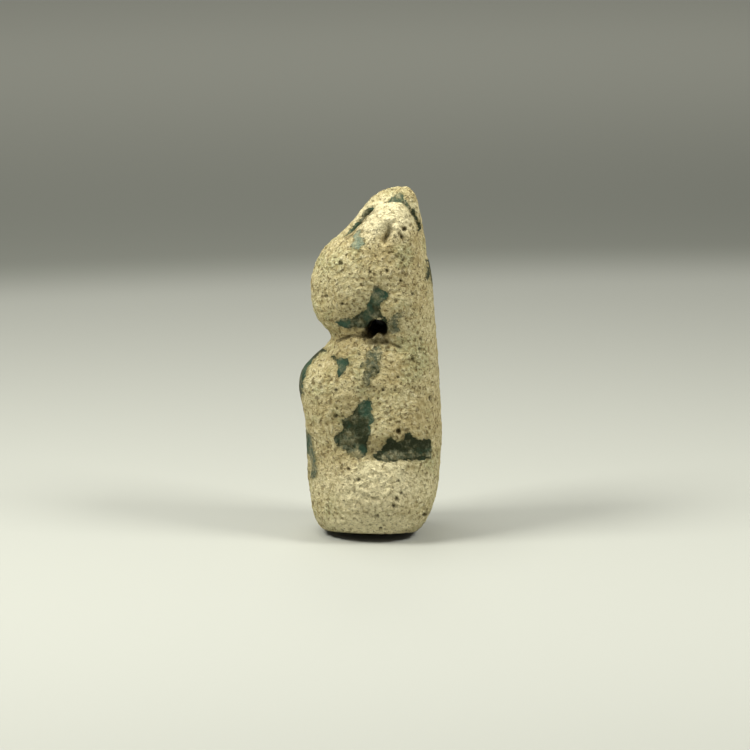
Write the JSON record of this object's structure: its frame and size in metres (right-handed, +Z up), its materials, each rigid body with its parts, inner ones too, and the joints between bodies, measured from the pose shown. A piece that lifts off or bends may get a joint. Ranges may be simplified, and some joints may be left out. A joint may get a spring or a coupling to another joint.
{
  "type": "cat amulet",
  "caption": "Small upright figure of a seated cat in worn faience, with a hole from side to side at the neck for a cord, standing on its flat underside.",
  "frame": {"origin": "centre of the amulet's footprint, on the flat underside that it stands on", "axes": "+Z up from the underside to the ear tips, the cat looks along -Y, its left flank is on +X"},
  "size_m": [0.0078, 0.009, 0.022],
  "materials": {
    "faience": "matte, gritty and pitted pale core, with remains of a dark green glaze in the hollows"
  },
  "bodies": {
    "root": {"cat_amulet": "faience"}
  },
  "joints": []
}
